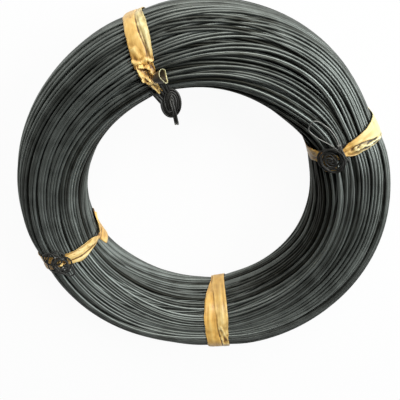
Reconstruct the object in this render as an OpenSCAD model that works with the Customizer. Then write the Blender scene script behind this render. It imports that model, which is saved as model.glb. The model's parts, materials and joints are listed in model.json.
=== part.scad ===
// Coil of cold heading wire: one thick bundle of steel wire turns, held by four
// kraft paper bands, each drawn tight by a tie wire that ends in its own knot.
// It lies flat on its end. The origin is on the coil's axis at the floor and +Z is up.
// All sizes are in millimetres.

/* [Coil] */
// Diameter of the bore
coil_id = 364; // [320:2:440]
// Radial build of the bundle, from the bore to the outermost turns
build_w = 118; // [104:1:150]
// Height of the bundle as it lies
coil_h = 126; // [100:1:160]
// Radius of the four rounded corners of the bundle's section
corner_r = 44; // [30:1:44]
// Diameter of the coiled wire
wire_d = 4; // [2.5:0.5:6]

/* [Paper bands] */
// Width of the folded kraft strip
band_w = 36; // [26:1:48]
// Thickness of the folded strip with the tie wire inside it
band_t = 3; // [2.8:0.1:4.5]
// Azimuth of the back left band
back_left_az = 111.5; // [105:0.5:118]
// Azimuth of the right band
right_az = 30.5; // [24:0.5:37]
// Azimuth of the left band
left_az = 206; // [198:0.5:214]
// Azimuth of the front band
front_az = 281; // [272:0.5:288]

/* [Tie wires] */
// Room left round the tie wire inside its strip
tie_play = 0.1; // [0.05:0.05:0.2]
// Diameter of the tie wire
tie_d = 2; // [1.4:0.1:2.2]
// Thickness of the twisted ends in the hanging oval knot
twist_d = 5; // [3:0.5:6]
// Length of the hanging oval knot on the back left band
loop_len = 44; // [36:1:54]
// Width of that oval knot
loop_w = 30; // [24:1:36]
// Thickness of the twisted ends in the two coiled knots
strand_d = 3; // [2.2:0.2:4]
// Outside diameter of the coiled knot on the right band
right_knot_d = 38; // [30:1:44]
// Outside diameter of the coiled knot on the left band
left_knot_d = 44; // [30:1:48]
// Length of the twisted pigtail on the front band
pigtail_len = 30; // [20:1:40]

/* [Hidden] */
$fn = 96;
r_in = coil_id / 2;
r_out = r_in + build_w;
r_mid = (r_out + r_in) / 2;
flat_w = build_w - 2 * corner_r;
flat_h = coil_h - 2 * corner_r;
wire_r = wire_d / 2;
tie_r = tie_d / 2;
quarter = PI / 2 * (corner_r - wire_r);
b0 = flat_w / 2;
b1 = b0 + quarter;
b2 = b1 + flat_h;
b3 = b2 + quarter;
b4 = b3 + flat_w;
b5 = b4 + quarter;
b6 = b5 + flat_h;
b7 = b6 + quarter;
path_len = b7 + flat_w / 2;
turns = 4 * round(path_len / wire_d / 4);
pitch = path_len / turns;
groove = 0.3 * wire_d;
crest = 20;
slot_w = 4 * tie_d;
band_a = 2.4 * asin(band_w / 2 / r_in);
tie_inset = band_t - tie_r - tie_play;
lift = 1.2 * tie_d;
cut_len = 4.5 * tie_d;

// The section is a rounded rectangle. A place on its edge is found by the distance q
// along the outermost layer of wire, from the middle of the underside towards the outside:
// it gives the corner centre that belongs to q and the direction of the outward normal.
function spot(q) =
  q < b0 ? [[r_mid + q, corner_r], -90] :
  q < b1 ? [[r_out - corner_r, corner_r], -90 + 90 * (q - b0) / quarter] :
  q < b2 ? [[r_out - corner_r, corner_r + q - b1], 0] :
  q < b3 ? [[r_out - corner_r, coil_h - corner_r], 90 * (q - b2) / quarter] :
  q < b4 ? [[r_out - corner_r - (q - b3), coil_h - corner_r], 90] :
  q < b5 ? [[r_in + corner_r, coil_h - corner_r], 90 + 90 * (q - b4) / quarter] :
  q < b6 ? [[r_in + corner_r, coil_h - corner_r - (q - b5)], 180] :
  q < b7 ? [[r_in + corner_r, corner_r], 180 + 90 * (q - b6) / quarter] :
  [[r_in + corner_r + q - b7, corner_r], 270];
function dir(a) = [cos(a), sin(a)];
function edge(q, inset) = let (s = spot(q)) s[0] + (corner_r - inset) * dir(s[1]);
function outline(inset) = [for (i = [0 : turns - 1]) edge((i + 0.5) * pitch, inset)];

// One flat crest and one groove for every turn of wire.
coil_section = [
  for (i = [0 : turns - 1])
    let (q = (i + 0.5) * pitch, c = edge(q, wire_r), a = spot(q)[1], r = wire_r / cos(crest))
      each [c + r * dir(a - crest), c + r * dir(a + crest),
            edge(min(q + pitch / 2, path_len - 0.0001), groove)]
];

// A straight strip round the section at an azimuth: between two depths under the
// section's edge, and as wide all the way round.
module strip(az, width, from, to)
  rotate([0, 0, az])
    intersection() {
      rotate([0, 0, -band_a / 2])
        rotate_extrude(angle = band_a)
          difference() {
            polygon(outline(from));
            polygon(outline(to));
          }
      translate([0, -width / 2, -coil_h / 2]) cube([2 * r_out, width, 2 * coil_h]);
    }

// A round wire along a path of points, its profile carried without twist.
function unit(v) = v / norm(v);
function heading(p, i) = unit(p[min(i + 1, len(p) - 1)] - p[max(i - 1, 0)]);
function square_to(v, t) = unit(v - (v * t) * t);
function carried(p, v, i = 0) =
  i == len(p) ? [] :
  let (n = square_to(v, heading(p, i))) concat([n], carried(p, n, i + 1));
module wire(p, radii, start, sides = 8) {
  n = carried(p, start);
  skin = [
    for (i = [0 : len(p) - 1])
      let (m = cross(heading(p, i), n[i]))
        for (k = [0 : sides - 1])
          p[i] + radii[i] * (cos(360 * k / sides) * n[i] + sin(360 * k / sides) * m)
  ];
  walls = [
    for (i = [0 : len(p) - 2])
      for (k = [0 : sides - 1])
        let (a = i * sides + k, b = i * sides + (k + 1) % sides)
          each [[a, a + sides, b], [b, a + sides, b + sides]]
  ];
  last = (len(p) - 1) * sides;
  ends = [
    [for (k = [0 : sides - 1]) k],
    [for (k = [sides - 1 : -1 : 0]) last + k]
  ];
  polyhedron(skin, concat(walls, ends));
}

// The part of a tie wire inside its band: once round the section from the distance q,
// moving sideways by one wire so that its two ends lie next to each other.
// A point is [outwards from the axis, along the circumference, up].
hoop_steps = 64;
function hoop(q) = [
  for (i = [0 : hoop_steps])
    let (w = q + path_len * i / hoop_steps, e = edge(w >= path_len ? w - path_len : w, tie_inset))
      [e[0], (0.5 - i / hoop_steps) * 1.5 * tie_d, e[1]]
];
// A place near the section's edge: h out along its normal, s along its edge and
// t clockwise along the circumference.
function near(q, h, s, t) =
  let (a = spot(q)[1], e = edge(q, -h) + s * dir(a + 90)) [e[0], -t, e[1]];
function even_r(path, r) = [for (p = path) r];
module tie(az, inside, knot, knot_r)
  rotate([0, 0, az])
    wire(concat(inside, knot), concat(even_r(inside, tie_r), even_r(knot, knot_r)), [1, 0.2, 0.4]);

// Where each tie wire comes out of its paper.
back_left_q = b4 + quarter * 0.50;
right_q = b4 + quarter * 0.22;
left_q = b3 + flat_w * 0.13;
front_q = b0 + quarter * 0.55;

// Both ends come up through the paper: the first is cut short and bent over sideways.
function cut_end(q) = [
  near(q, lift, -1.5 * tie_d, -cut_len - tie_d), near(q, lift, -1.5 * tie_d, -4 * tie_d),
  near(q, lift * 0.6, -1.2 * tie_d, -2.2 * tie_d), near(q, -band_t * 0.4, -0.5 * tie_d, -1.1 * tie_d)
];
// The second is wound outwards into a spiral that climbs over itself.
spiral_turns = 2.25;
spiral_steps = 14;
function spiral(q, d, aside) = [
  for (i = [0 : spiral_steps * spiral_turns])
    let (f = i / (spiral_steps * spiral_turns), first = 2.2 * tie_d, a = 360 * spiral_turns * f,
         r = first + (d / 2 - strand_d / 2 - first) * f)
      near(q, lift + 1.3 * strand_d * spiral_turns * f, r * sin(a), aside + first - r * cos(a))
];
function out_end(q) = [
  near(q, -band_t * 0.4, 0.5 * tie_d, 1.0 * tie_d), near(q, lift * 0.6, 0.5 * tie_d, 1.6 * tie_d)
];
// On the back left band it makes oval turns that stand into the bore, with a short tail.
oval_turns = 1.75;
oval_steps = 16;
oval_lean = 20;
function oval_at(q, along, aside, turn) =
  let (p = near(q, lift, 0, 0), u = dir(-oval_lean), v = dir(90 - oval_lean))
  [p[0] - loop_len / 2 + along * u[0] + aside * v[0],
   -0.4 * loop_w + along * u[1] + aside * v[1],
   p[2] + 1.15 * twist_d * turn];
function oval(q) = concat(
  [for (i = [0 : oval_steps * oval_turns])
    let (f = i / oval_steps, a = 360 * f)
      oval_at(q, (loop_len - twist_d) / 2 * cos(a), (loop_w - twist_d) / 2 * sin(a), f)],
  [oval_at(q, -loop_len * 0.15, -loop_w * 0.30, oval_turns + 0.4),
   oval_at(q, -loop_len * 0.42, -loop_w * 0.22, oval_turns + 0.8),
   oval_at(q, -loop_len * 0.85, -loop_w * 0.16, oval_turns + 0.7)]
);
// On the front band the two ends are twisted together and bent flat along the coil.
function strand(q, side) = [
  for (i = [0 : 28])
    let (f = i / 28, a = 360 * 3 * f + (side > 0 ? 0 : 180))
      near(q, lift + 0.6 * tie_d * cos(a), 0.6 * tie_d * sin(a), 2.6 * tie_d + pigtail_len * f)
];
function backwards(p) = [for (i = [len(p) - 1 : -1 : 0]) p[i]];

module wire_coil() color([0.30, 0.31, 0.31])
  difference() {
    rotate_extrude() polygon(coil_section);
    for (az = [back_left_az, right_az, left_az, front_az]) strip(az, band_w, -band_t, band_t);
  }

// A folded kraft strip with a channel inside for its tie wire and a hole where the wire comes out.
module paper_band(az, q) color([0.80, 0.62, 0.36])
  difference() {
    strip(az, band_w, 0, band_t);
    strip(az, slot_w, band_t - tie_d - 2 * tie_play, 1.3 * band_t);
    rotate([0, 0, az]) {
      p = near(q, 0, 0, 0);
      translate([p[0], 0, p[2]]) rotate([0, 90 - spot(q)[1], 0])
        cylinder(h = 2 * band_t, r = 2.2 * tie_d, center = true);
    }
  }
module paper_band_back_left() paper_band(back_left_az, back_left_q);
module paper_band_right() paper_band(right_az, right_q);
module paper_band_left() paper_band(left_az, left_q);
module paper_band_front() paper_band(front_az, front_q);

function inside(q) = concat(cut_end(q), hoop(q), out_end(q));
module tie_wire_back_left() color([0.10, 0.09, 0.10])
  tie(back_left_az, inside(back_left_q), oval(back_left_q), twist_d / 2);
module tie_wire_right() color([0.10, 0.09, 0.10])
  tie(right_az, inside(right_q), spiral(right_q, right_knot_d, 2.2 * tie_d), strand_d / 2);
module tie_wire_left() color([0.10, 0.09, 0.10])
  tie(left_az, inside(left_q), spiral(left_q, left_knot_d, 1.2 * tie_d), strand_d / 2);
module tie_wire_front() color([0.10, 0.09, 0.10])
  tie(front_az, concat(backwards(strand(front_q, -1)), hoop(front_q)), strand(front_q, 1), tie_r);

wire_coil();
paper_band_back_left();
paper_band_right();
paper_band_left();
paper_band_front();
tie_wire_back_left();
tie_wire_right();
tie_wire_left();
tie_wire_front();
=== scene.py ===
import json
import math
import bpy
import numpy as np
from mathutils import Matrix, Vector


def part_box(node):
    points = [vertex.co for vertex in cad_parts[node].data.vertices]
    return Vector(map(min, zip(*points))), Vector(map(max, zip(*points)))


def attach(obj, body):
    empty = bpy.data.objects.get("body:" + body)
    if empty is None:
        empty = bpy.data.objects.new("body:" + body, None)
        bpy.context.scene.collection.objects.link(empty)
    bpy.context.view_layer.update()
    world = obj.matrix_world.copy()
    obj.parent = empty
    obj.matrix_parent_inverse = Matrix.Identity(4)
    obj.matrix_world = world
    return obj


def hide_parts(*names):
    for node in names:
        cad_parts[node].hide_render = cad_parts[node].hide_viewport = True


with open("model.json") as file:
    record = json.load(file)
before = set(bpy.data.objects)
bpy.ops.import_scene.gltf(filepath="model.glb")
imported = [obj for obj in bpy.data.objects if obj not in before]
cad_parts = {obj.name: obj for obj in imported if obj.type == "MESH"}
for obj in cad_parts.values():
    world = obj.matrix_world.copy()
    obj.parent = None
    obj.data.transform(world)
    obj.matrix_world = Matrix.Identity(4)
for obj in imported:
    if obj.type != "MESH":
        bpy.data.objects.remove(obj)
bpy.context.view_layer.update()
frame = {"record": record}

# The bundle of turns
# One length of drawn and phosphated steel wire, about 4 mm thick, laid up turn on turn into
# a thick ring. The outer turns lie loosely: they wander round the section and cross each
# other at small angles, and they are pressed in where a tie is drawn tight.
WIRE_D = 0.004
OUTER_R, BUNDLE_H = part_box("wire_coil")[1][0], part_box("wire_coil")[1][2]
BORE_R = next(m for m in frame["record"]["mounts"] if m["name"] == "bore")["dims"]["r_mm"] / 1000
RING_R = (OUTER_R + BORE_R) / 2
# The section is a rectangle with round corners: half the sides between the corner centres, the
# length of one corner and the whole way round.
CORNER_R = 0.044
CORE_X = (OUTER_R - BORE_R) / 2 - CORNER_R
CORE_Z = BUNDLE_H / 2 - CORNER_R
ARC = math.pi / 2 * CORNER_R
ROUND = 4 * (CORE_X + CORE_Z + ARC)
TIE_AZ = {name: math.radians(a) for name, a in
          (("back_left", 111.5), ("right", 30.5), ("left", 206.0), ("front", 281.0))}
# Each tie presses the bundle in by this much, over this spread of azimuths, at this distance
# from the middle of its section, and in proportion nearer to it.
PRESS, PRESS_SPAN, PRESSED_R = 0.0022, math.radians(4.5), 0.055
# Radial planes in which the places of the turns are worked out.
STEPS = 72
# The whole lay swings outwards over the top by this much at two opposite azimuths.
TWIST, TWIST_AZ = 0.014, math.radians(30)
# The bundle isn't equally thick all round: how much shorter each half of its flats is, at which
# azimuth and over what spread in degrees. The ring is a little out of round in three places.
SLIM = ((0.0075, 196, 32), (0.0065, 36, 9), (-0.0022, 352, 12), (-0.0022, 326, 14),
        (0.0045, 272, 14), (-0.0020, 68, 20), (0.0020, 214, 10))
UNROUND, UNROUND_AZ = 0.002, math.radians(85)
# Each layer: name, turns, depth in wires under the section's edge, sideways wander, rise and fall.
LAYERS = (("under", 84, 2.50, 0.0025, 0.10),
          ("middle", 84, 1.50, 0.0090, 0.25),
          ("outer", 84, 0.55, 0.0130, 0.45))
# The share of an overlap by which two wires push each other apart at once.
PUSH = 0.4
LAY_SEED, TONE_SEED = 23, 5


def section_edge(s, depth):
    """A place on the rounded rectangular section, as offsets outwards and up from its middle:
    s runs once round from 0 to 1, from the outside upwards. It is interpolated between the
    ends of the four flats to a corner centre and a normal angle, and the point lies
    the corner radius less depth out along that normal."""
    ends = np.cumsum([0, CORE_Z, ARC, 2 * CORE_X, ARC, 2 * CORE_Z, ARC, 2 * CORE_X, ARC, CORE_Z])
    s = np.mod(s, 1.0) * ends[-1]
    side = np.array([1, 1, 1, -1, -1, -1, -1, 1, 1, 1]) * CORE_X
    rise = np.array([0, 1, 1, 1, 1, -1, -1, -1, -1, 0]) * CORE_Z
    turn = np.radians([0, 0, 90, 90, 180, 180, 270, 270, 360, 360])
    a = np.interp(s, ends, turn)
    out = CORNER_R - depth
    return np.stack([np.interp(s, ends, side) + out * np.cos(a),
                     np.interp(s, ends, rise) + out * np.sin(a)], -1)


def away(theta, az):
    """The angle from az to theta, between minus and plus half a turn."""
    return np.mod(theta - az + np.pi, 2 * np.pi) - np.pi


def slim(theta):
    """How much shorter each half of the section's flats is: a sum of bell curves round the ring."""
    return sum(cut * np.exp(-0.5 * (away(theta, math.radians(az)) / math.radians(span)) ** 2)
               for cut, az, span in SLIM)


def round_ring(section, theta):
    """Places in space for section offsets at azimuths: the flats are shortened by slim(), and
    the ring's radius swells and shrinks three times round."""
    out = section[..., 0] - slim(theta) * np.clip(section[..., 0] / CORE_X, -1, 1)
    r = RING_R + UNROUND * np.cos(3 * (theta - UNROUND_AZ)) + out
    return np.stack([r * np.cos(theta), r * np.sin(theta), BUNDLE_H / 2 + section[..., 1]], -1)


def drift(rng, count, spacing):
    """Smooth random values of unit size along a line: white noise under a bell curve that
    is spacing samples wide, divided by its own spread."""
    k = np.arange(-3 * spacing, 3 * spacing + 1) / spacing
    noise = np.convolve(rng.normal(size=count + len(k) - 1), np.exp(-0.5 * k * k), "valid")
    return noise / noise.std()


def wander(rng, theta, s):
    """How far a layer strays sideways, of unit size: five waves, each with whole numbers of
    periods round the ring and round the section, at random phases."""
    periods = np.array([[1, 1], [2, -2], [3, 2], [4, -1], [5, 4]])
    size = np.array([1.0, 0.9, 0.6, 0.4, 0.3]) * rng.uniform(0.7, 1.3, 5)
    phase = rng.uniform(0, 2 * np.pi, 5)
    return sum(size[k] * np.sin(periods[k, 0] * theta + 2 * np.pi * periods[k, 1] * s + phase[k])
               for k in range(5))


def settle(p, rounds):
    """Wires that overlap push each other apart by the share PUSH of the overlap along the line
    between their centres, and a wire that stands out of the section is moved back to its edge.
    The radial planes are taken in ten blocks."""
    for _ in range(rounds):
        for block in np.array_split(np.arange(len(p)), 10):
            q = p[block]
            gap = q[:, :, None] - q[:, None]
            far = np.sqrt((gap ** 2).sum(-1)) + 1e-9
            push = np.clip(WIRE_D - far, 0, None) / far * PUSH
            q = q + (gap * push[..., None]).sum(2)
            past = np.maximum(np.abs(q) - [CORE_X, CORE_Z], 1e-6)
            reach = np.hypot(past[..., 0], past[..., 1])
            over = np.clip(reach - CORNER_R + WIRE_D / 2, 0, None)
            p[block] = q - np.sign(q) * past / reach[..., None] * over[..., None]
    return p


def even(p, width):
    """A path of points under a bell curve width samples wide, its ends held by repeating them."""
    k = np.arange(-3 * width, 3 * width + 1)
    bell = np.exp(-0.5 * (k / width) ** 2)
    wide = np.concatenate([np.repeat(p[:1], 3 * width, 0), p, np.repeat(p[-1:], 3 * width, 0)])
    return np.stack([np.convolve(column, bell / bell.sum(), "valid") for column in wide.T], -1)


def finer(p):
    """Twice as many points along a path: each new one is set between its four neighbours,
    nine parts of the near two less one part of the far two, over sixteen."""
    wide = np.concatenate([p[:1], p, p[-1:]])
    new = (9 * (wide[1:-2] + wide[2:-1]) - wide[:-3] - wide[3:]) / 16
    both = np.empty((2 * len(p) - 1, p.shape[1]))
    both[::2], both[1::2] = p, new
    return both


def pressed(theta):
    """How far the ties press the bundle in at an azimuth: one bell curve at each tie."""
    return PRESS * sum(np.exp(-0.5 * (away(theta, az) / PRESS_SPAN) ** 2)
                       for az in TIE_AZ.values())


def lay_turns():
    """Where every turn crosses every radial plane. Each layer is one screw line that goes
    round the section once while it goes round the ring once for each turn, strayed by wander()
    and drift(), then settled and evened by turns so that no two wires share a place."""
    rng = np.random.default_rng(LAY_SEED)
    theta = np.arange(STEPS) * 2 * np.pi / STEPS
    crossing = []
    for _, turns, depth, stray, lift in LAYERS:
        t = np.arange(turns)[:, None] + np.arange(STEPS) / STEPS
        s = t / turns
        s = (s + stray / ROUND * wander(rng, theta, s)
             - TWIST / ROUND * np.cos(2 * (theta - TWIST_AZ)))
        s = s + (0.3 + 2 * lift) * WIRE_D / ROUND * drift(rng, t.size, 20).reshape(t.shape)
        d = WIRE_D * (depth + lift * np.clip(drift(rng, t.size, 18), -1.6, 1.6)).reshape(t.shape)
        crossing.append(section_edge(s, d).transpose(1, 0, 2))
    p = settle(np.concatenate(crossing, 1).astype(np.float32), rounds=14)
    firsts = np.cumsum([0] + [layer[1] for layer in LAYERS])

    def along(p, width):
        """Each layer's crossings, evened in the order in which its wire runs through them."""
        rows = [even(p[:, a:b].transpose(1, 0, 2).reshape(-1, 2), width)
                for a, b in zip(firsts, firsts[1:])]
        return [r.reshape(-1, STEPS, 2).transpose(1, 0, 2) for r in rows]

    p = settle(np.concatenate(along(p, 4), 1), rounds=6)
    p = settle(np.concatenate(along(p, 2), 1), rounds=2)
    return along(p, 2)


def square_pair(path, side):
    """Two unit directions square to a path at each point and to each other: the first is side
    less its share along the path."""
    way = np.gradient(path, axis=0)
    way /= np.linalg.norm(way, axis=1, keepdims=True)
    a = side - (side * way).sum(1, keepdims=True) * way
    a /= np.linalg.norm(a, axis=1, keepdims=True)
    return a, np.cross(way, a)


def skin(path, side, radius, sides):
    """A circle of points round each point of a path, spanned by its square_pair()."""
    a, b = square_pair(path, side)
    turn = (np.arange(sides) * 2 * np.pi / sides)[:, None]
    return path[:, None] + radius * (np.cos(turn) * a[:, None] + np.sin(turn) * b[:, None])


def tube_mesh(name, tubes, material):
    """One mesh of closed tubes, each given as its rings of points and one tone for each ring:
    four-sided faces between the rings and one flat face on each end. A tube that ends on its
    own first ring is joined there and has no ends."""
    points, loops, sizes, tones, first = [], [], [], [], 0
    for rows, tone in tubes:
        joined = np.allclose(rows[0], rows[-1])
        rows = rows[:-1] if joined else rows
        n, sides = rows.shape[:2]
        i, k = np.meshgrid(np.arange(n if joined else n - 1), np.arange(sides), indexing="ij")
        i2, k2 = (i + 1) % n, (k + 1) % sides
        walls = np.stack([i * sides + k, i * sides + k2, i2 * sides + k2, i2 * sides + k], -1)
        ends = np.concatenate([np.arange(sides)[::-1], np.arange(sides) + (n - 1) * sides])
        loops.append(first + np.concatenate([walls.ravel(), [] if joined else ends]))
        sizes.append(np.concatenate([np.full(i.size, 4), [] if joined else [sides, sides]]))
        points.append(rows.reshape(-1, 3))
        tones.append(np.repeat(np.broadcast_to(tone, n), sides))
        first += n * sides
    loops, sizes = np.concatenate(loops), np.concatenate(sizes)
    starts = np.concatenate([[0], np.cumsum(sizes)[:-1]])
    mesh = bpy.data.meshes.new(name)
    mesh.vertices.add(first)
    mesh.vertices.foreach_set("co", np.concatenate(points).ravel())
    mesh.loops.add(len(loops))
    mesh.loops.foreach_set("vertex_index", loops.astype(np.int32))
    mesh.polygons.add(len(sizes))
    mesh.polygons.foreach_set("loop_start", starts.astype(np.int32))
    mesh.polygons.foreach_set("use_smooth", np.ones(len(sizes), bool))
    values = mesh.attributes.new("tone", "FLOAT", "POINT").data
    values.foreach_set("value", np.concatenate(tones))
    mesh.update(calc_edges=True)
    mesh.validate()
    mesh.materials.append(material)
    obj = bpy.data.objects.new(name, mesh)
    bpy.context.collection.objects.link(obj)
    return obj


def new_finish(name):
    """An empty procedural material: its node tree, its surface shader and a function that adds
    a node, sets its inputs and takes links for those given as sockets. An input is given by its
    name, or by i and its number."""
    material = bpy.data.materials.new(name)
    material.use_nodes = True
    tree = material.node_tree
    shader = tree.nodes["Principled BSDF"]

    def add(kind, settings=None, **inputs):
        """A new node with its settings, and its inputs set or linked."""
        node = tree.nodes.new(kind)
        for key, value in (settings or {}).items():
            setattr(node, key, value)
        for key, value in inputs.items():
            numbered = key[0] == "i" and key[1:].isdigit()
            socket = node.inputs[int(key[1:]) if numbered else key]
            if isinstance(value, bpy.types.NodeSocket):
                tree.links.new(value, socket)
            else:
                socket.default_value = value
        return node

    return material, tree, shader, add


def weighed(add, value, weight, base):
    """A value times its weight, added to a base."""
    node = add("ShaderNodeMath", {"operation": "MULTIPLY_ADD"}, i0=value, i1=weight, i2=base)
    return node.outputs[0]


def between(add, value, low, high):
    """A value from 0 to 1, brought between two others."""
    node = add("ShaderNodeMapRange", Value=value, **{"To Min": low, "To Max": high})
    return node.outputs["Result"]


def ramp(add, factor, stops):
    """A colour ramp node with its stops given as (place, colour)."""
    node = add("ShaderNodeValToRGB", Fac=factor)
    band = node.color_ramp.elements
    while len(band) < len(stops):
        band.new(0.5)
    for mark, (place, colour) in zip(band, stops):
        mark.position, mark.color = place, (*colour, 1.0)
    return node.outputs["Color"]


def wire_finish(name, dark, light, metal, smooth, rough):
    """Wire with a thin coating: its colour differs a little from turn to turn by the tone
    attribute, which on the coil's turns also carries painted shade, and along each turn in
    blotches, it is rougher where the coating is thick, and fine drawing marks are in the bump."""
    material, tree, shader, add = new_finish(name)
    place = add("ShaderNodeTexCoord").outputs["Object"]
    turn = add("ShaderNodeAttribute", {"attribute_name": "tone"}).outputs["Fac"]
    blotch = add("ShaderNodeTexNoise", Vector=place, Scale=38.0, Detail=4.0).outputs["Fac"]
    mixed = weighed(add, blotch, 0.5, turn)
    colour = ramp(add, mixed, ((0.15, dark), (0.95, light)))
    tree.links.new(colour, shader.inputs["Base Color"])
    tree.links.new(between(add, blotch, smooth, rough), shader.inputs["Roughness"])
    shader.inputs["Metallic"].default_value = metal
    grain = add("ShaderNodeTexNoise", Vector=place, Scale=900.0, Detail=2.0).outputs["Fac"]
    bump = add("ShaderNodeBump", Height=grain, Strength=0.12, Distance=0.0003).outputs["Normal"]
    tree.links.new(bump, shader.inputs["Normal"])
    return material


wire_grey = wire_finish("phosphated_wire", dark=(0.030, 0.031, 0.025), light=(0.33, 0.36, 0.335),
                        metal=0.90, smooth=0.45, rough=0.62)
SIDES = {"under": 6, "middle": 6, "outer": 8}
# How light each layer's turns are, darker deeper down as painted shade, and how much and over how
# many points that changes.
LAYER_TONE_AND_SHADE = {"under": 0.07, "middle": 0.17, "outer": 0.255}
TONE_SPREAD, TONE_SPACING = 0.17, 50
# Past about this distance from the section's middle the turns are toned darker as painted shade:
# towards the bore most of all round the first azimuth, and on the outside round the second.
PAINTED_SHADE_TONE, PAINTED_SHADE_FROM = 0.12, 0.022
PAINTED_SHADE_AZ, PAINTED_SHADE_OUT_AZ, PAINTED_SHADE_OUT_SPAN = math.radians(45), math.radians(80), 0.5
tone_rng = np.random.default_rng(TONE_SEED)
for (layer, *_), crossing in zip(LAYERS, lay_turns()):
    path = finer(crossing.transpose(1, 0, 2).reshape(-1, 2))
    t = np.arange(len(path)) * np.pi / STEPS
    path = path * (1 - pressed(t) / PRESSED_R)[:, None]
    outwards = np.stack([np.cos(t), np.sin(t), 0 * t], -1)
    # Painted shade: darker turns towards the bore and, round the second azimuth, on the outside.
    painted_shade = np.clip(-path[:, 0] / PAINTED_SHADE_FROM - 1, 0, 1.4) * (1 + np.cos(t - PAINTED_SHADE_AZ))
    painted_shade += (1.2 * np.clip(path[:, 0] / PAINTED_SHADE_FROM - 1.2, 0, 1)
             * np.exp(-(away(t, PAINTED_SHADE_OUT_AZ) / PAINTED_SHADE_OUT_SPAN) ** 2))
    tone = LAYER_TONE_AND_SHADE[layer] + TONE_SPREAD * drift(tone_rng, len(t), TONE_SPACING) - PAINTED_SHADE_TONE * painted_shade
    turns = skin(round_ring(path, t), outwards, WIRE_D / 2, SIDES[layer])
    piece = tube_mesh("wire_turns_" + layer, [(turns, tone)], wire_grey)
    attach(piece, "root")
    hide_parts("wire_coil")

# The turns deeper inside are seen only as a dark ground between the others: one closed ring,
# toned darker than any layer as painted shade.
INSIDE_DEPTH, INSIDE_SHADE_TONE, INSIDE_SIDES = 3.3 * WIRE_D, -0.2, 72
t = np.linspace(0, 2 * np.pi, 2 * STEPS + 1)[:, None]
s = np.linspace(0, 1, INSIDE_SIDES, endpoint=False) + 0 * t
inside = round_ring(section_edge(s, INSIDE_DEPTH), t)
piece = tube_mesh("wire_turns_inside", [(inside, INSIDE_SHADE_TONE)], wire_grey)
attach(piece, "root")
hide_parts("wire_coil")

# The paper bands
# Strips of waxed kraft paper, torn off and folded lengthwise over each tie so that it can't mark
# the turns, go once round the bundle with it. They lie smooth where they are pulled tight, are
# creased by hand and bunch up towards the knot, and their torn ends stay ragged.
PAPER_T = 0.0004
STRIP_ROWS, STRIP_COLUMNS = 300, 44
STRIP_SEED = 40
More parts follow.
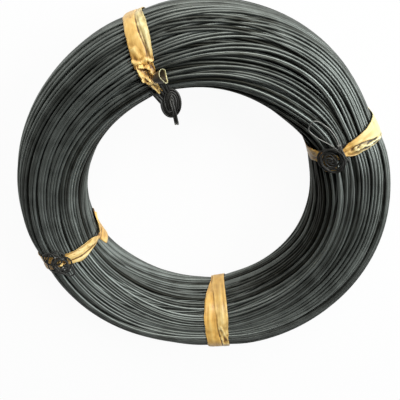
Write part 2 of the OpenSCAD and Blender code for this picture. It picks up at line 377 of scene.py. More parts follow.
# A strip has rows: place round the section, its two edges along the circumference in
# millimetres, and how crumpled it is on each side of its seam. At the seam, rows of place and
# millimetres, it is folded over and its higher side lies on the lower one. Each sharp fold
# goes from a place and millimetre to another and has a height and a half width. The last rows
# say how pale each side of the seam is painted at a place, as a painted highlight.
STRIPS = {
    "back_left": (
        {"rows": ((-0.62, -8, -1, 0.5, 0.5), (-0.58, -14, 6, 0.4, 0.4), (-0.45, -17, 17, 0.1, 0.1),
                  (-0.25, -16, 20, 0.1, 0.1), (-0.035, -10, 18, 0.1, 0.1),
                  (0.03, -13, 15.2, 0.12, 0.1), (0.105, -18, 13, 0.15, 0.1),
                  (0.14, -19.8, 13.4, 0.15, 0.1), (0.18, -19.2, 13.8, 0.18, 0.15),
                  (0.22, -16, 15.4, 0.2, 0.15), (0.258, -13, 16.8, 0.3, 0.2)),
         "seam": ((-0.62, -4), (-0.03, -2), (0.106, -5), (0.152, -6), (0.183, -7), (0.211, -8.5),
                  (0.25, -4.5)),
         "folds": ((0.05, -8, 0.135, -12, 0.9, 5), (0.10, -8.5, 0.20, -10.5, -0.5, 1.6),
                   (0.155, -15, 0.235, -12, 1.1, 4), (0.19, -11, 0.245, -9, -0.6, 1.5),
                   (0.20, 8, 0.235, 2.5, 1.4, 6), (0.238, 17, 0.254, 5, 2.4, 5),
                   (0.25, 3, 0.245, -4, 1.6, 5), (0.246, -4, 0.262, -12, 2.2, 4.5)),
         "sheen_rows": ((-0.62, 0, 0), (0.0, 0.5, 0.1), (0.12, 0.75, 0.1), (0.20, 0.65, 0.1),
                    (0.25, 0.1, 0))},
        {"rows": ((0.235, -9, 11, 0.1, 0.1), (0.255, -11, 12.5, 0.2, 0.2),
                  (0.268, -10.3, 14, 0.35, 0.35), (0.285, -10, 14, 0.35, 0.35),
                  (0.305, -9.8, 12.8, 0.35, 0.35), (0.326, -7.5, 8.8, 0.35, 0.35),
                  (0.353, -6.5, 3.4, 0.35, 0.35), (0.388, -5.6, -0.4, 0.35, 0.35)),
         "seam": ((0.235, 3), (0.40, -3)),
         "folds": ((0.262, 9, 0.275, -3, 5, 5), (0.275, -3, 0.318, -7, 5, 5),
                   (0.262, 12.5, 0.31, 10.5, 4, 4.2), (0.305, 11, 0.328, 5, 3.5, 3.5),
                   (0.292, 8, 0.345, -4, 4.5, 4), (0.33, 3.5, 0.383, -2, 4, 3.5),
                   (0.268, 10, 0.288, -4, -1.9, 2.6), (0.297, -8, 0.319, 7, -1.7, 2.2),
                   (0.328, 6, 0.346, -5, -1.5, 2.2)),
         "sheen_rows": ((0.235, 0, 0), (0.38, 0.3, 0.3))}),
    "right": (
        {"rows": ((0.325, -31, -3, 0.3, 0.3), (0.345, -32, 0, 0.4, 0.4), (0.366, -29, 2, 0.7, 0.7),
                  (0.380, -17, 5, 0.6, 0.6), (0.40, -11.8, 8, 0.5, 0.5),
                  (0.425, -12.5, 10, 0.35, 0.35), (0.50, -16, 14, 0.1, 0.1),
                  (0.62, -18, 18, 0.1, 0.1), (0.75, -18, 18, 0.1, 0.1), (0.95, -20, 15, 0.1, 0.1),
                  (1.05, -21.5, 14, 0.2, 0.05), (1.10, -22, 13, 0.7, 0.05),
                  (1.127, -21.5, 10.8, 0.9, 0.05), (1.158, -20.8, 8.5, 0.9, 0.08),
                  (1.193, -19.4, 5.5, 0.8, 0.1), (1.225, -19.6, 3, 0.6, 0.15),
                  (1.25, -19.2, 0.5, 0.5, 0.3), (1.275, -16.5, -2.5, 0.6, 0.5),
                  (1.33, -14, -4, 0.6, 0.6)),
         "seam": ((0.325, -8), (0.50, -4), (0.95, -16), (1.097, -18), (1.151, -11.5),
                  (1.185, -6.5), (1.212, -7), (1.255, -8.5), (1.33, -9)),
         "folds": ((1.11, -17, 1.21, -14, 1.6, 2.4), (1.15, -18, 1.24, -16.5, -1.4, 2),
                   (1.19, -3, 1.26, -4, 0.9, 3), (1.115, -20, 1.15, -17.5, -1.3, 1.5),
                   (1.135, -14.5, 1.16, -17.5, -1.3, 1.5), (1.165, -11.5, 1.19, -15.5, -1.3, 1.5),
                   (1.195, -8, 1.22, -13, -1.2, 1.6), (1.22, -6.5, 1.245, -11.5, -1.0, 1.6),
                   (1.16, -9.5, 1.215, -6.5, -0.9, 1.5), (1.12, 3, 1.22, -1, 0.6, 6)),
         "sheen_rows": ((0.325, 0, 0), (0.95, 0.3, 0.3), (1.05, 0.9, 1), (1.10, 1, 1), (1.15, 1, 0.55),
                    (1.20, 0.8, 0.1), (1.24, 0.2, 0), (1.33, 0, 0))},),
    "left": (
        {"rows": ((0.200, -4, 6, 0.5, 0.5), (0.253, -6.5, 6, 0.5, 0.5), (0.285, -8.6, 9, 0.3, 0.3),
                  (0.304, -9, 10.5, 0.1, 0.1), (0.336, -7.2, 13.3, 0.05, 0.05),
                  (0.366, -7.6, 11.2, 0.05, 0.05), (0.393, -7.5, 8.8, 0.05, 0.05),
                  (0.418, -5.8, 7.4, 0.05, 0.05), (0.438, -4.4, 6.6, 0.1, 0.1),
                  (0.465, 1, 7.6, 0.15, 0.15), (0.486, 4.6, 9.5, 0.15, 0.15),
                  (0.497, 4.5, 24, 0.1, 0.1), (0.507, -1, 27, 0.1, 0.1), (0.524, -12, 27, 0.1, 0.1),
                  (0.54, -27, 26, 0.1, 0.1), (0.56, -30, 25, 0.1, 0.1), (0.60, -26, 22, 0.1, 0.1),
                  (0.68, -20, 20, 0.1, 0.1), (0.95, -18, 18, 0.1, 0.1), (1.08, -17, 16, 0.2, 0.2),
                  (1.15, -15, 12.5, 0.3, 0.3), (1.185, -13, 11.5, 0.5, 0.5),
                  (1.215, -8, 9, 0.5, 0.5)),
         "seam": ((0.20, 2), (0.29, 4.2), (0.339, 5.5), (0.369, 5), (0.405, 5), (0.43, 6.6),
                  (0.50, 12), (0.6, 2), (1.215, 2)),
         "folds": ((0.30, -1, 0.42, 0, 1.2, 6), (0.32, 9, 0.37, 8.5, 0.8, 3),
                   (0.33, -5, 0.40, 3, -0.5, 2.4), (0.30, 4.3, 0.345, 5.7, -1.6, 1.8),
                   (0.345, 5.7, 0.41, 5, -1.6, 1.8), (0.29, -7.5, 0.42, -4.6, -1.6, 2.4),
                   (0.322, -3, 0.326, -2, -1.0, 1.3), (0.345, -4, 0.349, -3, -1.0, 1.2),
                   (0.362, 1, 0.366, 2, -1.0, 1.2), (0.385, -2, 0.389, -1, -1.0, 1.2),
                   (0.405, 2, 0.409, 3, -1.0, 1.2), (0.214, 4, 0.236, 7, 5, 7),
                   (0.50, 1, 0.55, -24, 5, 7), (0.40, 1, 0.47, 5, 1.5, 4),
                   (0.498, 20, 0.53, 22, 1.5, 4)),
         "sheen_rows": ((0.20, 0, 0), (0.30, 0.2, 0.2), (0.36, 0.4, 0.4), (0.43, 0.3, 0.3),
                    (0.50, 0, 0), (1.215, 0, 0))},),
    "front": (
        {"rows": ((-0.13, -8, 4, 0.5, 0.5), (-0.05, -18, 8, 0.3, 0.3), (0.05, -22, 12, 0.15, 0.3),
                  (0.155, -24.6, 13.6, 0.08, 0.3), (0.21, -24.5, 14.6, 0.06, 0.3),
                  (0.245, -24, 15.5, 0.05, 0.2), (0.28, -23.4, 16.6, 0.05, 0.15),
                  (0.338, -22.8, 18.3, 0.05, 0.08), (0.39, -19.4, 18.2, 0.06, 0.05),
                  (0.46, -15.9, 17, 0.08, 0.05), (0.548, -8, 15.2, 0.1, 0.05),
                  (0.62, -9, 16, 0.1, 0.1), (0.70, -16, 18, 0.1, 0.1), (0.80, -16, 14, 0.2, 0.2),
                  (0.87, -8, 4, 0.5, 0.5)),
         "seam": ((-0.13, 2), (0.183, 1), (0.244, -1.5), (0.301, -2), (0.335, -0.5), (0.368, -3),
                  (0.424, -3.2), (0.521, -7), (0.70, -4), (0.87, 0)),
         "folds": ((0.285, 4, 0.205, 10.5, 1.1, 3), (0.265, 2.5, 0.185, 5.5, -0.4, 2.2),
                   (0.235, 4.5, 0.165, 4, 0.7, 2.6), (0.25, 12, 0.17, 12.5, 0.6, 2.2),
                   (0.20, -14, 0.42, -12, 0.7, 7), (0.30, 9, 0.50, 8, 0.6, 6),
                   (0.33, 13.5, 0.50, 12, -0.5, 3), (0.30, -18, 0.40, -13, -0.4, 3)),
         "sheen_rows": ((-0.13, 0, 0), (0.20, 0, 0.2), (0.25, 0, 0.3), (0.36, 0, 0.25), (0.46, 0, 0),
                    (0.87, 0, 0))},),
}
# Random creases, broad and small: half length, half width and area of paper for each, then
# height.
BROAD, BROAD_H = (0.032, 0.009, 0.00010), 0.0008
SMALL, SMALL_H = (0.012, 0.0038, 0.00003), 0.0011
# How far crumpled edges are torn in and out, and the ends, those as places round the section.
TORN, TORN_END = 0.0008, 0.004
# How soft the step at the seam is, how high one more layer of paper stands there, and the depth
# and half width of the groove along it.
STEP_W, LAYER_H, GROOVE_H, GROOVE_W = 0.0004, 0.0006, 0.0009, 0.0009
# How high smooth paper lies over the section's edge, the lowest and highest that creases reach,
# the highest on the underside, and how far all of it is then drawn into the turns.
SMOOTH_H, CREASE_LOW, CREASE_HIGH, UNDER_HIGH, DRAWN_IN = 0.0006, -0.0004, 0.0070, 0.0002, 0.0007
# The underside lies lower than this share of the height under the middle, and goes over into the
# rest within the second share.
UNDER_FROM, UNDER_SPAN = 0.44, 0.06
# The height at which a fold's colour is one step lighter, as painted highlight on ridges and
# painted shade in hollows, how many steps darker crumpled paper is painted as shade, and how many
# the streaks along a strip make.
SHADE_STEP_H, CRUMPLE_SHADE, STREAKS = 0.0008, 0.6, 0.13


def creases(rng, u, v, length, wide, density):
    """Random folds of finite length in crumpled paper, some up and some down: each is a roof
    with straight slopes across its line that runs out at both ends of it. There are as many
    of them as the strip's area over density, mostly along the strip."""
    count = int(np.ptp(u) * np.ptp(v) / density)
    a = rng.normal(0.0, 0.7, count)
    half, reach = length * rng.uniform(0.5, 1.5, count), wide * rng.uniform(0.6, 1.4, count)
    du = u[..., None] - rng.uniform(u.min(), u.max(), count)
    dv = v[..., None] - rng.uniform(v.min(), v.max(), count)
    along, across = du * np.cos(a) + dv * np.sin(a), dv * np.cos(a) - du * np.sin(a)
    roof = np.clip(1 - np.abs(across) / reach, 0, None) * np.clip(1 - (along / half) ** 2, 0, None)
    return (roof * rng.choice([-1.0, 1.0], count)).sum(-1)


def sharp_folds(u, v, folds):
    """The folds that are given one by one: roofs with straight slopes along lines from place to
    place, that run out over a seventh of their length past each end."""
    first, last = folds[:, 0:2] * [ROUND, 0.001], folds[:, 2:4] * [ROUND, 0.001]
    way = last - first
    length = np.linalg.norm(way, axis=1)
    way = way / length[:, None]
    du, dv = u[..., None] - first[:, 0], v[..., None] - first[:, 1]
    along, across = (du * way[:, 0] + dv * way[:, 1]) / length, dv * way[:, 0] - du * way[:, 1]
    run_out = np.clip(7 * np.minimum(along, 1 - along) + 1, 0, 1)
    roof = np.clip(1 - np.abs(across) / folds[:, 5] * 1000, 0, None)
    return (folds[:, 4] / 1000 * roof * run_out).sum(-1)


def on_coil(az, s, aside, lift):
    """A place over the bundle: s round the section at an azimuth, aside along the circumference
    and lift out from the section's edge."""
    e = section_edge(s, -lift)
    return round_ring(e, az + aside / (RING_R + e[..., 0]))


def strip_grid(rng, az, rows, seam, folds, sheen_rows):
    """A creased strip: its rows are joined smoothly and its edges and ends torn a little ragged.
    It is lifted by its folds, by random creases as its crumple says, and by one more layer of
    paper past its seam, with an uneven groove along the seam; its edges lie down on the wires
    but for a tall fold. With each point comes how far it stands over its surroundings, which
    paints shade in hollows and highlight on ridges, less where it is crumpled as painted shade
    and with streaks along the strip, and how pale it is painted as highlight."""
    rows, seam, folds, sheen_rows = (np.array(part, float) for part in (rows, seam, folds, sheen_rows))
    s = np.linspace(rows[0, 0], rows[-1, 0], STRIP_ROWS)

    def joined(part, column, width):
        """One column of given rows along the whole strip: interpolated between them and evened."""
        return even(np.interp(s, part[:, 0], part[:, column])[:, None], width)

    low, high = joined(rows, 1, 2) / 1000, joined(rows, 2, 2) / 1000
    fold = joined(seam, 1, 3) / 1000
    v = np.linspace(0, 1, STRIP_COLUMNS)
    torn = TORN * np.stack([drift(rng, STRIP_ROWS, 3), drift(rng, STRIP_ROWS, 3)], -1)
    aside = ((low + torn[:, :1] * (0.2 + joined(rows, 3, 3))) * (1 - v)
             + (high + torn[:, 1:] * (0.2 + joined(rows, 4, 3))) * v)
    past = 1 / (1 + np.exp(-np.clip((aside - fold) / STEP_W, -40, 40)))
    crumple = joined(rows, 3, 3) * (1 - past) + joined(rows, 4, 3) * past
    # How pale each side is painted: a painted highlight.
    pale = joined(sheen_rows, 1, 3) * (1 - past) + joined(sheen_rows, 2, 3) * past
    part = np.linspace(-1, 1, STRIP_ROWS)[:, None]
    s = s[:, None] + TORN_END * drift(rng, STRIP_COLUMNS, 5) * part ** 15
    run = s * ROUND
    broad = creases(rng, run, aside, *BROAD)
    small = creases(rng, run, aside, *SMALL)
    groove = GROOVE_H * np.clip(1 + 0.6 * drift(rng, STRIP_ROWS, 6), 0.2, None)[:, None]
    lift = (SMOOTH_H + LAYER_H * past + sharp_folds(run, aside, folds)
            + BROAD_H * broad * (0.1 + crumple) + SMALL_H * small * crumple
            - groove * np.exp(-((aside - fold) / GROOVE_W) ** 2))
    rim = np.clip(1 - 16 * np.minimum(v, 1 - v), 0, 1) * np.clip(3 - lift / 0.001, 0, 1)
    lift = np.clip(lift, CREASE_LOW, CREASE_HIGH) * (1 - rim) + SMOOTH_H * rim
    above = np.clip(section_edge(s, 0)[..., 1] / BUNDLE_H + UNDER_FROM, 0, UNDER_SPAN) / UNDER_SPAN
    lift = np.minimum(lift, UNDER_HIGH) * (1 - above) + lift * above - DRAWN_IN
    # Painted shade and highlight: hollows darker, ridges lighter, crumpled paper darker; the
    # streaks are the paper's own.
    stand = (lift - even(even(lift, 4).T, 4).T) / SHADE_STEP_H - CRUMPLE_SHADE * crumple
    streak = even(rng.normal(size=lift.shape), 14)
    stand = stand + STREAKS * streak / streak.std()
    return on_coil(az, s, aside, lift), {"stand": stand, "pale": pale}


def sheet_mesh(name, grids, material):
    """One mesh of open grids of points with named values at each point, thickened inwards."""
    points, faces, first = [], [], 0
    for grid, _ in grids:
        n, m = grid.shape[:2]
        i, k = np.meshgrid(np.arange(n - 1), np.arange(m - 1), indexing="ij")
        a = first + i * m + k
        faces.append(np.stack([a, a + 1, a + m + 1, a + m], -1).reshape(-1, 4))
        points.append(grid.reshape(-1, 3))
        first += n * m
    mesh = bpy.data.meshes.new(name)
    mesh.from_pydata(np.concatenate(points).tolist(), [], np.concatenate(faces).tolist())
    for key in grids[0][1]:
        values = [np.broadcast_to(given[key], grid.shape[:2]).ravel() for grid, given in grids]
        data = mesh.attributes.new(key, "FLOAT", "POINT").data
        data.foreach_set("value", np.concatenate(values))
    mesh.polygons.foreach_set("use_smooth", np.ones(len(mesh.polygons), bool))
    mesh.materials.append(material)
    obj = bpy.data.objects.new(name, mesh)
    bpy.context.collection.objects.link(obj)
    wall = obj.modifiers.new("paper_thickness", "SOLIDIFY")
    wall.thickness, wall.offset = PAPER_T, -1
    return obj


def kraft_finish():
    """Waxed kraft: gold, darker in its folds as painted shade and lighter on ridges as painted
    highlight, by how far the paper stands over its surroundings, paler where a painted highlight
    is laid on by the pale attribute, clouded and fibrous in the colour and bump, with a thin
    coat of wax."""
    material, tree, shader, add = new_finish("waxed_kraft")
    place = add("ShaderNodeTexCoord").outputs["Object"]
    stand = add("ShaderNodeAttribute", {"attribute_name": "stand"}).outputs["Fac"]
    pale = add("ShaderNodeAttribute", {"attribute_name": "pale"}).outputs["Fac"]
    blotch = add("ShaderNodeTexNoise", Vector=place, Scale=60.0, Detail=5.0).outputs["Fac"]
    fibre = add("ShaderNodeTexNoise", Vector=place, Scale=700.0, Detail=3.0).outputs["Fac"]
    mixed = weighed(add, blotch, 0.4, 0.355)
    # Painted shade in folds and painted highlight on ridges.
    mixed = weighed(add, stand, 0.4, mixed)
    mixed = weighed(add, fibre, 0.12, mixed)
    gold = ramp(add, mixed, ((0.10, (0.13, 0.050, 0.008)), (0.38, (0.48, 0.25, 0.055)),
                             (0.62, (0.77, 0.45, 0.115)), (0.92, (0.88, 0.61, 0.21))))
    light = ramp(add, mixed, ((0.0, (0.03, 0.026, 0.018)), (0.32, (0.43, 0.34, 0.15)),
                              (0.62, (0.73, 0.68, 0.335)), (0.92, (0.79, 0.78, 0.51))))
    colour = add("ShaderNodeMix", {"data_type": "RGBA"}, i0=pale, i6=gold, i7=light).outputs[2]
    tree.links.new(colour, shader.inputs["Base Color"])
    tree.links.new(between(add, blotch, 0.34, 0.55), shader.inputs["Roughness"])
    shader.inputs["Coat Weight"].default_value = 0.08
    shader.inputs["Coat Roughness"].default_value = 0.35
    bump = add("ShaderNodeBump", Height=fibre, Strength=0.2, Distance=0.0004).outputs["Normal"]
    tree.links.new(bump, shader.inputs["Normal"])
    return material


def rolled_end(rng, az):
    """The loose end beside the back left knot: paper curled into a short open cone of a little
    over one turn, whose ragged mouth faces away from the strip and up. Rings that grow towards
    the mouth and shrink a little as they turn are carried along its axis."""
    mouth = on_coil(az, np.array(0.306), np.array(-0.0215), np.array(0.0105))
    way = np.array([0.80, 0.38, 0.46])
    a, b = np.cross(way, [0, 0, 1.0]), np.cross(np.cross(way, [0, 0, 1.0]), way)
    a, b = a / np.linalg.norm(a), b / np.linalg.norm(b)
    turn = np.linspace(0, 2.4 * np.pi, 60)
    along = np.linspace(0, 1, 20)[:, None]
    radius = ((0.0045 + 0.0057 * along ** 0.8) * (1 - 0.035 * turn / np.pi)
              * (1 + 0.07 * np.sin(2 * turn + 3 * along)))
    ring = radius[..., None] * (np.cos(turn)[:, None] * a + np.sin(turn)[:, None] * b)
    torn = along * (1 + 0.08 * drift(rng, len(turn), 3)) - 1
    rim = np.clip(8 * along - 7, 0, 1) + 0 * turn
    # Painted shade darkens the roll's body and painted highlight lightens the rim of its mouth; the
    # roll takes the pale highlight colours.
    return mouth + 0.018 * torn[..., None] * way + ring, {"stand": 2.4 * rim - 1.6, "pale": 0.9}


kraft = kraft_finish()
for number, (band, strips) in enumerate(STRIPS.items()):
    rng = np.random.default_rng(STRIP_SEED + number)
    grids = [strip_grid(rng, TIE_AZ[band], **strip) for strip in strips]
    if band == "back_left":
        grids.append(rolled_end(rng, TIE_AZ[band]))
    piece = sheet_mesh("paper_strip_" + band, grids, kraft)
    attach(piece, "root")
    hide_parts("paper_band_" + band)

# The tie wires
# Soft black annealed iron wire goes round the bundle inside each strip. Its ends are doubled
# and bent over by hand on the paper: into a hanging oval at the back left, a rosette on the
# right, a loose tangle on the left and a flat pigtail at the front.
TIE_D, TIE_SINK = 0.002, 0.0017
OVAL_D, ROSETTE_D, WRAP_D, LOOSE_D, TANGLE_D = 0.0034, 0.0029, 0.0026, 0.0018, 0.0023
# The bright metal of a cut end, and a direction that no knot's wire runs along.
CUT_TONE = 0.8
UPWARDS = (0.15, 0.1, 1.0)


def bent(points, per):
    """A smooth path through points: cubic pieces of per steps, whose slope at each point is
    half the step between its two neighbours."""
    p = np.concatenate([2 * points[:1] - points[1:2], points, 2 * points[-1:] - points[-2:-1]])
    t = (np.arange(per) / per)[None, :, None]
    p0, p1, p2, p3 = (p[k:len(p) - 3 + k, None] for k in range(4))
    c = (2 * p1 + (p2 - p0) * t + (2 * p0 - 5 * p1 + 4 * p2 - p3) * t ** 2
         + (3 * p1 - p0 - 3 * p2 + p3) * t ** 3)
    return np.concatenate([c.reshape(-1, 3) / 2, points[-1:]])


def stand_off(az, s, aside):
    """The frame of a knot: its place on the section's edge, and the directions along the edge
    outwards, along the circumference and out from the bundle."""
    base = on_coil(az, np.array([s, s - 0.002, s]), np.array([aside] * 3), np.array([0, 0, 0.001]))
    edge, out = base[1] - base[0], base[2] - base[0]
    edge, out = edge / np.linalg.norm(edge), out / np.linalg.norm(out)
    return base[0], np.stack([edge, np.cross(out, edge), out])


def tube(path, diameter, tone=0.0, sides=8, side=UPWARDS):
    """A round wire along a path with a tone, and brighter where it is cut off."""
    cut = np.arange(len(path)) >= len(path) - 2
    rings = skin(path, np.broadcast_to(side, path.shape), diameter / 2, sides)
    return rings, tone + (CUT_TONE - tone) * cut


def doubled(path, diameter, sway, lay):
    """Two wires next to each other along a path: each lies half a wire off it, and the pair
    leans from side to side by the angle sway once in every lay of its length."""
    a, b = square_pair(path, np.broadcast_to((0.0, 0.0, 1.0), path.shape))
    run = np.concatenate([[0], np.cumsum(np.linalg.norm(np.diff(path, axis=0), axis=1))])
    lean = sway * np.sin(run / lay * 2 * np.pi)[:, None]
    off = diameter / 2 * (np.sin(lean) * a + np.cos(lean) * b)
    return [tube(path + half * off, diameter) for half in (-1, 1)]


def hoop(az, s):
    """The tie inside its strip: once round the section from s, moved sideways by a little over
    one wire."""
    t = np.linspace(0, 1, 97)
    path = on_coil(az, s + t, (t - 0.5) * 1.2 * TIE_D, np.full(len(t), -TIE_SINK))
    return tube(path, TIE_D, sides=6, side=(-math.sin(az), math.cos(az), 0))


def hanging_oval(az):
    """The doubled ends come off the bundle, go almost three times round a flat oval that they
    fill from its rim to its middle, and leave it over its far end as a short tail. Beside them
    six more doubled strands go straight into the knot. Points are outwards from the axis, along
    the circumference and up."""
    turn = np.radians(np.linspace(-70, -1080, 126))
    part, laps = np.linspace(0, 1, 126), (0, 0.287, 0.40, 0.644, 0.75, 1)
    long = np.interp(part, laps, (0.0190, 0.0190, 0.0128, 0.0124, 0.0075, 0.0060))
    wide = np.interp(part, laps, (0.0123, 0.0123, 0.0060, 0.0058, 0.0014, 0.0012))
    up = np.interp(part, laps, (0.1080, 0.1085, 0.1100, 0.1105, 0.1120, 0.1135))
    flat = [0.1702, -0.0121] + (np.outer(long * np.cos(turn), [0.938, -0.347])
                                + np.outer(wide * np.sin(turn), [-0.347, -0.938]))
    start = np.array([[0.1985, 0.0100, 0.1075], [0.1890, 0.0080, 0.1080]])
    tail = np.array([[0.1700, -0.0140, 0.1160], [0.1620, -0.0145, 0.1180],
                     [0.1540, -0.0130, 0.1180], [0.1450, -0.0112, 0.1160],
                     [0.1340, -0.0098, 0.1130]])
    t = np.linspace(0, 1, 40)[:, None]
    lines = [((0.2010, c, 0.1085), (0.1720, 0.35 * c - 0.004, 0.1050))
             for c in (0.001, 0.0055, 0.010)]
    lines += [((0.2030, c, 0.1150), (0.1800, 0.6 * c - 0.006, 0.1040))
              for c in (-0.016, -0.010, -0.004)]
    beside = [np.array(first) * (1 - t) + np.array(last) * t for first, last in lines]
    strands = []
    for local in (np.concatenate([start, np.concatenate([flat, up[:, None]], 1), tail]), *beside):
        x, y, z = even(bent(local, 3), 4).T
        path = np.stack([x * math.cos(az) - y * math.sin(az),
                         x * math.sin(az) + y * math.cos(az), z], -1)
        strands += doubled(path, OVAL_D, sway=0.35, lay=0.06)
    return strands


def rosette(az):
    """A flat spiral of six turns, domed in its middle, with a loose ring across it and three
    turns of wire over the paper beside it, and one thin end that springs out, lies along the
    turns and comes back. The points of this end are places round the section and millimetres
    along the circumference."""
    base, axes = stand_off(az, 0.331, -0.0115)
    f = np.linspace(0, 1, 220)
    turn = 2 * np.pi * 6.1 * f
    r = 0.0013 + 0.0190 * f + 0.0014 * np.sin(2.3 * turn)
    spiral = np.stack([0.003 * (1 - f) + r * np.cos(turn), 0.002 * (1 - f) + r * np.sin(turn),
                       0.0080 - 0.0052 * f + 0.0006 * np.sin(1.7 * turn)], -1)
    turn = np.linspace(0.5, 0.5 + 3.1 * np.pi, 90)
    ring = np.stack([0.0060 + 0.0175 * np.cos(turn), 0.001 + 0.0185 * np.sin(turn),
                     0.0085 + 0.0022 * np.cos(turn + 0.8) + 0.0008 * np.sin(1.6 * turn)], -1)
    over = np.linspace(-1, 1, 24)
    wraps = [np.stack([0.0180 + 0.0030 * k + (0.0015 - 0.0015 * k) * over,
                       0.005 + 0.0150 * over, 0.0055 - 0.0045 * over ** 2], -1)
             for k in (0, 1, 2)]
    places = np.array([[0.293, -14], [0.290, -10], [0.301, 1.5], [0.321, 14], [0.339, 24],
                       [0.351, 36.5], [0.348, 44.5], [0.331, 51.5], [0.314, 55], [0.303, 52.5],
                       [0.297, 45], [0.291, 33.5], [0.289, 17.6], [0.290, 4], [0.291, -9],
                       [0.300, -16]])
    lift = np.full(len(places), 0.0014)
    loose = bent(on_coil(az, places[:, 0], places[:, 1] / 1000, lift), 6)
    return [*(tube(base + p @ axes, ROSETTE_D) for p in (spiral, ring)),
            *(tube(base + p @ axes, WRAP_D, tone=0.15) for p in wraps),
            tube(loose, LOOSE_D, tone=0.9, sides=6)]


# The loops of the tangle: middle, two half widths and height in millimetres, tilt and turns.
LOOPS = ((0, 6, 17, 15, 4.0, 0.3, 1.25), (1, 7, 13.5, 12, 4.6, 1.1, 1.3),
         (-1, 6, 11, 10, 5.4, 2.0, 1.6), (9, -9, 15, 11, 5.8, 2.4, 1.2),
         (11, -12, 10, 8, 6.4, 0.9, 1.2), (4, -3, 21, 15, 6.8, 0.7, 1.1),
         (-2, 9, 20, 13, 5.0, 1.9, 0.9))


def tangle(az):
    """Loose loops that lie across each other over the paper: ellipses whose size and height
    swing a little as they go round, let down over the bundle's rounded edge."""
    base, axes = stand_off(az, 0.232, -0.002)
    wires = []
    for x, y, long, wide, up, tilt, turns in LOOPS:
        a = np.linspace(tilt, tilt + 2 * np.pi * turns, int(60 * turns))
        swing = 1 + 0.07 * np.sin(2.6 * a + x)
        p, q = long * swing * np.cos(a), wide * swing * np.sin(a)
        p, q = (x + p * math.cos(tilt) - q * math.sin(tilt),
                y + p * math.sin(tilt) + q * math.cos(tilt))
        h = up + 1.1 * np.sin(a + y) + 0.5 * np.sin(2.2 * a) - np.clip(p - 4, 0, None) ** 2 / 100
        wires.append(tube(base + np.stack([p, q, h], -1) / 1000 @ axes, TANGLE_D, tone=0.02))
    return wires


def pigtail(az):
    """Both ends wound round each other and bent flat along the bundle's outer lower side."""
    t = np.linspace(0, 1, 60)
    lift = 0.0006 + 0.0030 * np.sin(np.pi * np.clip(2.2 * t, 0, 0.5)) - 0.0012 * t
    path = on_coil(az, -0.118 + 0.006 * t, 0.002 - 0.036 * t, lift)
    a, b = square_pair(path, np.broadcast_to(UPWARDS, path.shape))
    turn = (2 * np.pi * 3.6 * t)[:, None]
    off = TIE_D / 2 * (np.cos(turn) * a + np.sin(turn) * b)
    return [tube(path + half * off, TIE_D) for half in (-1, 1)]


black_wire = wire_finish("annealed_tie_wire", dark=(0.009, 0.008, 0.007), light=(0.28, 0.28, 0.26),
                         metal=0.60, smooth=0.42, rough=0.58)
# Where round the section each tie is closed, and its knot.
KNOTS = {"back_left": (0.39, hanging_oval), "right": (0.32, rosette),
         "left": (0.22, tangle), "front": (-0.118, pigtail)}
for band, (s, knot) in KNOTS.items():
    wires = [hoop(TIE_AZ[band], s), *knot(TIE_AZ[band])]
    piece = tube_mesh("tie_" + band, wires, black_wire)
    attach(piece, "root")
    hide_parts("tie_wire_" + band)

# The stage
# A plain pale floor that keeps the shadow under the coil and turns up into a low wall far away,
# and two soft square lamps: one from the right of the photograph's frame and one from its top,
# the side near the camera.
FLOOR_R, WALL_H, FLOOR_SIDES = 12.0, 3.5, 64
around = np.linspace(0, 2 * np.pi, FLOOR_SIDES + 1)[:-1]
rim = np.stack([FLOOR_R * np.cos(around), FLOOR_R * np.sin(around), 0 * around], -1)
step = np.arange(FLOOR_SIDES)
after = (step + 1) % FLOOR_SIDES
walls = np.stack([step, step + FLOOR_SIDES, after + FLOOR_SIDES, after], -1)
floor_mesh = bpy.data.meshes.new("floor")
floor_mesh.from_pydata([*rim.tolist(), *(rim + [0, 0, WALL_H]).tolist()], [],
                       [step.tolist(), *walls.tolist()])
floor = bpy.data.objects.new("floor", floor_mesh)
bpy.context.collection.objects.link(floor)
floor_finish, tree, shader, add = new_finish("pale_floor")
shader.inputs["Base Color"].default_value = (0.80, 0.80, 0.80, 1)
shader.inputs["Roughness"].default_value = 0.9
# Rays from the camera, off shiny surfaces and through clear ones see it almost wholly white.
WHITE_SHARE = 0.95
ray = add("ShaderNodeLightPath").outputs
seen = add("ShaderNodeMath", {"operation": "MAXIMUM"},
           i0=ray["Is Camera Ray"], i1=ray["Is Glossy Ray"])
seen = add("ShaderNodeMath", {"operation": "MAXIMUM"},
           i0=seen.outputs[0], i1=ray["Is Transmission Ray"])
share = add("ShaderNodeMath", {"operation": "MULTIPLY"}, i0=seen.outputs[0], i1=WHITE_SHARE)
white = add("ShaderNodeEmission", Color=(1, 1, 1, 1), Strength=1.0)
mixed = add("ShaderNodeMixShader", i0=share.outputs[0], i1=shader.outputs[0], i2=white.outputs[0])
tree.links.new(mixed.outputs[0], tree.nodes["Material Output"].inputs["Surface"])
floor_mesh.materials.append(floor_finish)

world = bpy.data.worlds.new("studio")
bpy.context.scene.world = world
world.use_nodes = True
world.node_tree.nodes["Background"].inputs["Color"].default_value = (0.93, 0.96, 1.0, 1)
world.node_tree.nodes["Background"].inputs["Strength"].default_value = 0.03

LAMP_AIM, LAMP_SIZE = (0, 0, 0.06), 1.8


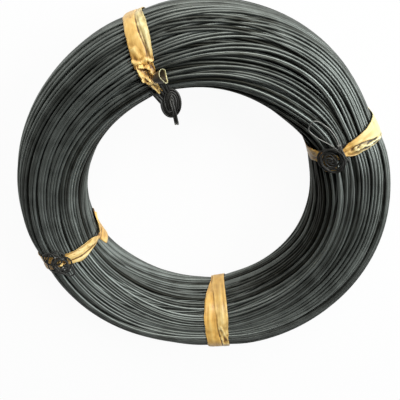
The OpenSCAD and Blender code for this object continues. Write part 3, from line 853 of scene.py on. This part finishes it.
def lamp(name, place, power, colour):
    """A square soft lamp at a place, turned towards the coil."""
    data = bpy.data.lights.new(name, "AREA")
    data.size, data.energy, data.color = LAMP_SIZE, power, colour
    obj = bpy.data.objects.new(name, data)
    bpy.context.collection.objects.link(obj)
    obj.location = place
    back = np.array(place, float) - np.array(LAMP_AIM, float)
    lean = math.acos(back[2] / np.linalg.norm(back))
    obj.rotation_euler = (lean, 0, math.atan2(back[1], back[0]) + math.pi / 2)


lamp("side_lamp", (2.52, 1.20, 2.06), power=108, colour=(0.94, 0.98, 1.0))
lamp("near_lamp", (0.20, 2.90, 2.36), power=112, colour=(1.0, 0.985, 0.95))

# The camera
# It looks down on the lying coil with the near side at the top of the frame, as in the
# photograph: place, tilt and roll come from fitting the ring's outlines in the 400 px frame.
FRAME_PX = 400
FOCUS_PX = 550.0
TILT, ROLL = math.radians(26.0), math.radians(-3.4)
CENTRE_PX = (201.3, 193.2)
# The distance is 3.75 times the ring's mean radius.
DISTANCE = 0.90375
SENSOR_MM = 36
ct, st, cr, sr = math.cos(TILT), math.sin(TILT), math.cos(ROLL), math.sin(ROLL)
to_view = np.array([[cr, -sr * ct, sr * st], [sr, cr * ct, -cr * st], [0, st, ct]])
sight = np.array([(CENTRE_PX[0] - FRAME_PX / 2) / FOCUS_PX,
                  (FRAME_PX / 2 - CENTRE_PX[1]) / FOCUS_PX, -1.0])
sight /= np.linalg.norm(sight)
across = np.cross([0, 1, 0], -sight)
across /= np.linalg.norm(across)
turned = np.stack([across, np.cross(-sight, across), -sight], 1) @ to_view
place = -turned.T @ (sight * DISTANCE) + [0, 0, BUNDLE_H / 2]
camera = bpy.data.objects.new("camera", bpy.data.cameras.new("camera"))
bpy.context.collection.objects.link(camera)
camera.data.sensor_width = SENSOR_MM
camera.data.lens = FOCUS_PX / FRAME_PX * SENSOR_MM
pose = np.eye(4)
pose[:3, :3], pose[:3, 3] = turned.T, place
camera.matrix_world = pose.T
bpy.context.scene.camera = camera
bpy.context.scene.view_settings.view_transform = "Standard"
